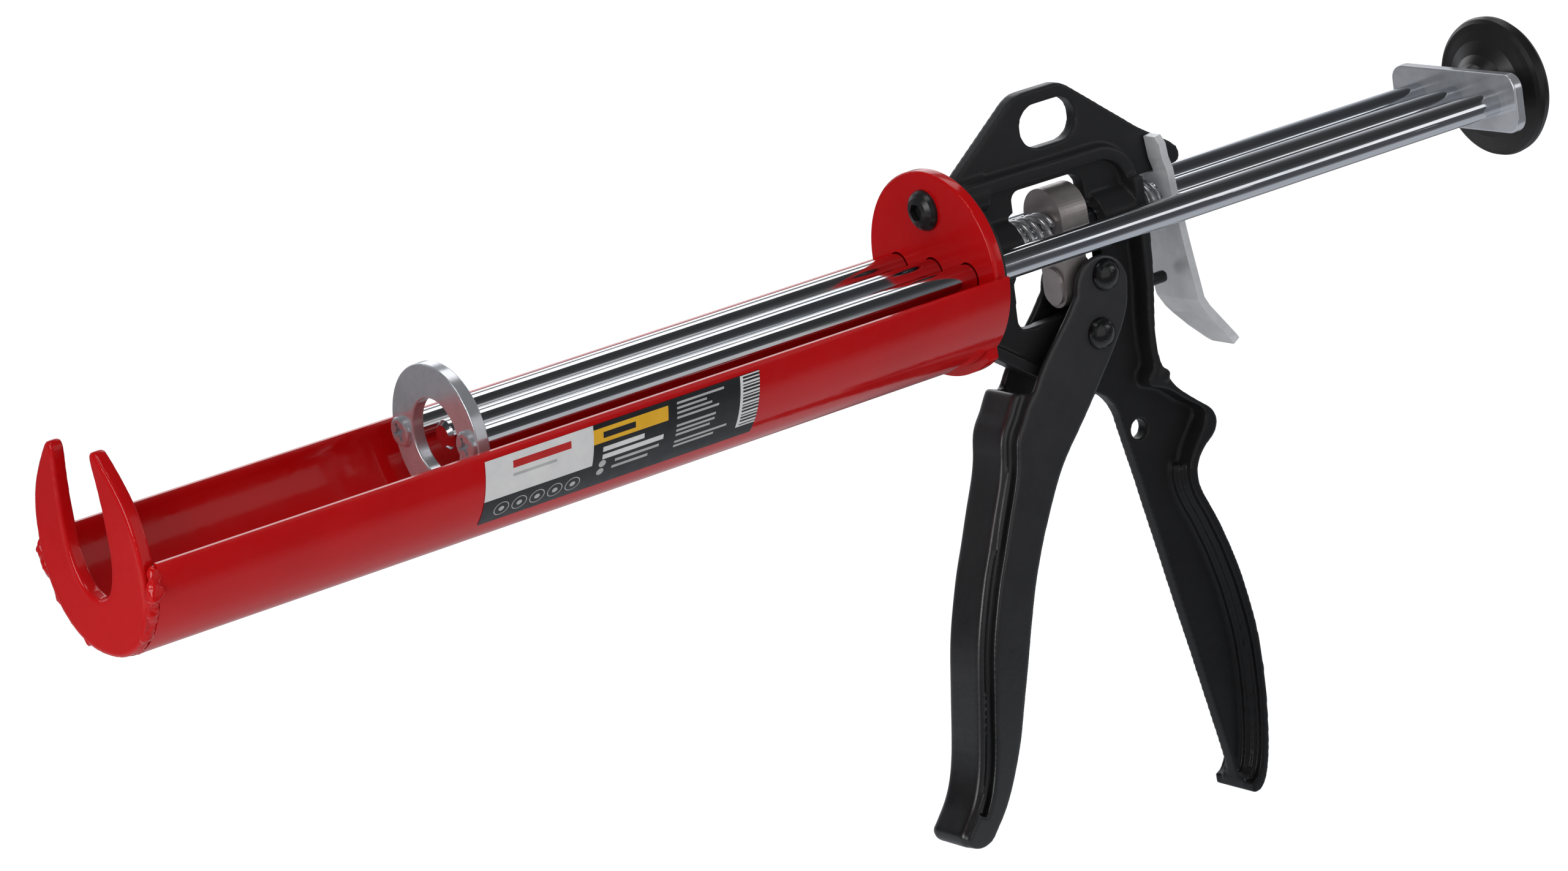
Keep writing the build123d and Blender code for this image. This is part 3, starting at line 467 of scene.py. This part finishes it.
use = {
    "barrel_cradle": RED, "nose_hook": RED, "hook_weld": RED, "rear_flange": RED, "flange_screws": BLACK_SCREW,
    "frame_casting": BLACK_CAST, "trigger": BLACK, "centre_rod": ROD, "outer_rod_left": ROD, "outer_rod_right": ROD,
    "pusher_ring_front": ZINC, "pusher_ring_back": ZINC, "ring_screws": ZINC_SCREW, "rear_yoke": ZINC,
    "rod_nuts": ZINC_SCREW, "pull_knob": PLASTIC, "drive_block": SINTER, "drive_spring": WIRE, "lock_spring": WIRE,
    "release_lever": ZINC_LEVER, "pivot_rivet": BLACK_RIVET, "drive_pin": BLACK_RIVET, "label_sticker": BLACK,
}
for n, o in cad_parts.items():
    for i in range(max(1, len(o.data.materials))):
        if i < len(o.data.materials):
            o.data.materials[i] = use[n]
        else:
            o.data.materials.append(use[n])


def weld_mod(o):
    w = o.modifiers.new("join", "WELD")
    w.merge_threshold = 2e-6


def round_edges(node, width, segments=3, angle=32):
    """Small rounded edges on a CAD piece, whose mesh stays as it is."""
    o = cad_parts[node]
    weld_mod(o)
    b = o.modifiers.new("edges", "BEVEL")
    b.width = width
    b.segments = segments
    b.limit_method = "ANGLE"
    b.angle_limit = math.radians(angle)
    b.harden_normals = True
    b.use_clamp_overlap = True
    return o


def recast(node, voxel, factor=0.5, repeat=6):
    """Soft rounded edges and inside corners, like a casting or a pressing under thick paint."""
    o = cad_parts[node]
    weld_mod(o)
    r = o.modifiers.new("skin", "REMESH")
    r.mode = "VOXEL"
    r.voxel_size = voxel
    r.use_smooth_shade = True
    s = o.modifiers.new("soften", "SMOOTH")
    s.factor = factor
    s.iterations = repeat
    return o


round_edges("barrel_cradle", 0.0004)
round_edges("rear_flange", 0.0003, 2, 50)
round_edges("drive_block", 0.0004, 3, 35)
round_edges("release_lever", 0.0003, 2, 40)
recast("frame_casting", 0.0004, 0.5, 10)
recast("trigger", 0.0003, 0.5, 36)
recast("nose_hook", 0.0003, 0.5, 40)

# ---------------------------------------------------------------------------
# Label: a thin curved film with a plain block print
# ---------------------------------------------------------------------------
AX_Z = 1.2


def add_mesh(name, verts, faces, mats, idx=None, smooth=True):
    me = bpy.data.meshes.new(name)
    me.from_pydata([(x * MM, y * MM, z * MM) for x, y, z in verts], [], faces)
    for mt in mats:
        me.materials.append(mt)
    if idx is not None:
        me.polygons.foreach_set("material_index", idx)
    me.polygons.foreach_set("use_smooth", [smooth] * len(me.polygons))
    me.update()
    o = bpy.data.objects.new(name, me)
    scene.collection.objects.link(o)
    return o


def film(name, c0, c1, r=0.34):
    """Printed film: slight gloss, faint ripples where it was rubbed down."""
    a = Mat(name, rough=r, ior=1.45)
    a.to("colour", a.ramp(a.noise(180, 4, 0.6), [(0.3, c0), (0.7, c1)]))
    a.to("rough", a.ramp(a.noise(300, 3), [(0.3, r - 0.06), (0.7, r + 0.08)]))
    n1 = a.bump(a.noise(160, 2, 0.4), 0.10, 0.0004)
    a.normal(a.bump(a.noise(1800, 2), 0.05, 0.00008, n1))
    return a.m


F_BLACK = film("film_black", (0.013, 0.014, 0.016), (0.020, 0.021, 0.024), 0.34)
F_WHITE = film("film_white", (0.70, 0.70, 0.71), (0.78, 0.78, 0.78), 0.38)
F_YELLOW = film("film_yellow", (0.80, 0.42, 0.012), (0.86, 0.47, 0.016), 0.36)
F_RED = film("film_red", (0.50, 0.012, 0.012), (0.56, 0.016, 0.014), 0.36)
F_GREY = film("film_grey", (0.42, 0.42, 0.43), (0.52, 0.52, 0.52), 0.38)
FILM = [F_BLACK, F_WHITE, F_YELLOW, F_RED, F_GREY]


def z_of(deg):
    return AX_Z + 25.33 * math.sin(math.radians(deg))


def deg_of(z):
    return math.degrees(math.asin(max(-1.0, min(1.0, (z - AX_Z) / 25.33))))


L_X0, L_X1, L_A0, L_A1 = 72.6, 149.6, -46.5, -5.6
SH = -1.4
print_blocks = [(121.3, 160.0, -11.2, 5.0, 1),
                (127.5, 143.5, -4.9, -3.1, 3), (131.5, 143.5, -6.9, -6.2, 4),
                (100.3, 121.3, -6.1, -2.5, 2), (109.5, 118.6, -5.1, -3.6, 0),
                (107.0, 118.6, -8.5, -7.3, 1), (101.4, 118.6, -10.4, -9.2, 1),
                (102.4, 114.8, -12.0, -11.3, 4), (105.2, 115.4, -13.6, -12.9, 4)]
for zc, w in ((-2.7, 13.5), (-3.9, 8.5), (-5.1, 10.0), (-6.3, 12.0), (-8.3, 11.2), (-9.5, 11.0), (-10.6, 9.8), (-12.4, 15.0), (-13.5, 11.5)):
    print_blocks.append((97.8 - w, 97.8, zc - 0.28, zc + 0.28, 4))
print_blocks.append((74.0, 79.6, -14.4, -1.4, 1))
for i in range(15):
    z0 = -14.0 + i * 0.84
    print_blocks.append((74.0, 78.8, z0, z0 + (0.5 if i % 3 else 0.3), 0))
print_blocks = [(b[0] + SH, b[1] + SH, b[2], b[3], b[4]) for b in print_blocks]
xs = sorted({round(v, 3) for b in print_blocks for v in b[:2]} | {round(L_X0 + i * 3.5, 3) for i in range(23)})
xs = [v for v in xs if L_X0 <= v <= L_X1]
angs = sorted({round(max(L_A0, min(L_A1, deg_of(v))), 3) for b in print_blocks for v in b[2:4]} | {round(L_A0 + i * 1.5, 3) for i in range(25)})
angs = [v for v in angs if L_A0 <= v <= L_A1]
verts, faces, idx = [], [], []
for a in angs:
    for x in xs:
        lift = 25.33
        verts.append((x, lift * math.cos(math.radians(a)), AX_Z + lift * math.sin(math.radians(a))))
nx = len(xs)
for j in range(len(angs) - 1):
    for i in range(nx - 1):
        faces.append((j * nx + i, (j + 1) * nx + i, (j + 1) * nx + i + 1, j * nx + i + 1))
        cx = 0.5 * (xs[i] + xs[i + 1])
        cz = z_of(0.5 * (angs[j] + angs[j + 1]))
        k = 0
        for b in print_blocks:
            if b[0] <= cx <= b[1] and b[2] <= cz <= b[3]:
                k = b[4]
        idx.append(k)
label = add_mesh("label_film", verts, faces, FILM, idx)
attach(label, "body")
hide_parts("label_sticker")


def on_flank(x, s, r=25.36):
    """Point on the cradle's left flank: x along it, s mm round it below the level of its axis."""
    a = -s / 25.2
    return (x, r * math.cos(a), AX_Z + r * math.sin(a))


# five plain rings with a dot, and two plain discs
verts, faces, idx = [], [], []


def flat_ring(xc, sc, r0, r1, mat, n=40, squash=1.0):
    base = len(verts)
    for i in range(n):
        t = 2 * math.pi * i / n
        for r in (r0, r1):
            verts.append(on_flank(xc + r * math.cos(t), sc + squash * r * math.sin(t)))
    for i in range(n):
        j = (i + 1) % n
        faces.append((base + 2 * i, base + 2 * j, base + 2 * j + 1, base + 2 * i + 1))
        idx.append(mat)


for i in range(5):
    xc = 144.2 - 4.9 * i
    flat_ring(xc, 16.6, 1.85, 2.08, 0)
    flat_ring(xc, 16.6, 0.001, 0.75, 0)
flat_ring(117.0, 13.2, 0.001, 1.0, 0)
flat_ring(117.2, 15.6, 0.001, 1.0, 0)
rings = add_mesh("label_marks", verts, faces, [F_GREY], idx)
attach(rings, "body")

# ---------------------------------------------------------------------------
# Weld bead round the joint of hook and cradle: uneven, with lumps and a drip
# ---------------------------------------------------------------------------


def bead(name, a0, a1, steps, rad, xc, rc, seed):
    """Lumpy bead along an arc. rad, xc and rc are functions of the angle in degrees."""
    vs, fs = [], []
    n = 20
    for i in range(steps + 1):
        t = i / steps
        a = a0 + (a1 - a0) * t
        c, sn = math.cos(math.radians(a)), math.sin(math.radians(a))
        end = min(1.0, math.sqrt(max(0.0, 1 - (2 * t - 1) ** 18)))
        for k in range(n):
            u = 2 * math.pi * k / n
            nz = noise.noise(Vector((seed + a * 0.22, 1.2 * math.cos(u), 1.2 * math.sin(u))))
            nz2 = noise.noise(Vector((seed * 2 + a * 0.7, 2.5 * math.cos(u), 2.5 * math.sin(u))))
            r = rad(a) * (1 + 0.30 * nz + 0.14 * nz2) * end
            rr = rc(a) + r * math.cos(u)
            rr = min(rr, 26.7, 25.14 / max(0.2, abs(c)))
            vs.append((min(xc(a) + r * math.sin(u), 236.75), rr * c, AX_Z + rr * sn))
    for i in range(steps):
        for k in range(n):
            j = (k + 1) % n
            fs.append((i * n + k, i * n + j, (i + 1) * n + j, (i + 1) * n + k))
    fs.append(tuple(range(n)))
    fs.append(tuple(steps * n + k for k in reversed(range(n))))
    return vs, fs


def bump_at(a, c, w, h):
    return h * math.exp(-((a - c) / w) ** 2)


def w_rad(a):
    return (1.12 + bump_at(a, -6, 4.5, 0.85) + bump_at(a, -17, 5, 1.05) + bump_at(a, -31, 6, 0.45) + bump_at(a, -46, 6, 0.62)
            + bump_at(a, -64, 6, 0.30) + bump_at(a, -90, 8, 0.22) + bump_at(a, -112, 4, 0.55) + bump_at(a, -128, 3.2, 0.95)
            + bump_at(a, -143, 6, 0.45) + bump_at(a, -160, 5, 0.85) + bump_at(a, -171, 5, 0.75))


vs, fs = bead("weld", -2.0, -178.0, 300, w_rad, lambda a: 235.0 + 0.30 * math.sin(a * 0.21), lambda a: 23.65 - 0.25 * math.sin(a * 0.13) + 0.55 * (w_rad(a) - 1.12), 3.7)
weld = add_mesh("weld_bead", vs, fs, [RED])
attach(weld, "body")
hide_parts("hook_weld")

# ---------------------------------------------------------------------------
# Springs: round wire, closed end coils
# ---------------------------------------------------------------------------


def coil(name, x0, x1, r_mean, wire, turns, phase, closed=0.75):
    """Helical spring between x0 and x1 whose end coils lie flat."""
    vs, fs = [], []
    per, n = 40, 12
    total = int(turns * per)
    flat_t = closed
    travel = (x1 - x0) - 2 * wire
    pitch_flat = 2.05 * wire
    mid = turns - 2 * flat_t
    mid_pitch = (travel - 2 * flat_t * pitch_flat) / mid
    pts = []
    for i in range(total + 1):
        t = i / per
        if t < flat_t:
            x = t * pitch_flat
        elif t < turns - flat_t:
            x = flat_t * pitch_flat + (t - flat_t) * mid_pitch
        else:
            x = travel - (turns - t) * pitch_flat
        pts.append((x, t))
    xs_ = [p[0] for p in pts]
    for _ in range(6):
        xs_ = [xs_[0]] + [(xs_[i - 1] + xs_[i] + xs_[i + 1]) / 3 for i in range(1, len(xs_) - 1)] + [xs_[-1]]
    for i, (x, t) in enumerate(pts):
        a = 2 * math.pi * t + phase
        c, sn = math.cos(a), math.sin(a)
        for k in range(n):
            u = 2 * math.pi * k / n
            rr = r_mean + wire * math.cos(u)
            vs.append((x0 + wire + xs_[i] + wire * math.sin(u), rr * c, rr * sn))
    for i in range(total):
        for k in range(n):
            j = (k + 1) % n
            fs.append((i * n + k, i * n + j, (i + 1) * n + j, (i + 1) * n + k))
    fs.append(tuple(range(n)))
    fs.append(tuple(total * n + k for k in reversed(range(n))))
    return add_mesh(name, vs, fs, [WIRE])


drive_coil = coil("drive_spring_wire", -35.45, -23.55, 5.42, 0.76, 4.3, 0.6, 0.6)
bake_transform(drive_coil)
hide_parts("drive_spring")
lock_coil = coil("lock_spring_wire", -69.9, -64.25, 5.4, 0.5, 3.0, 2.2)
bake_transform(lock_coil)
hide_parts("lock_spring")
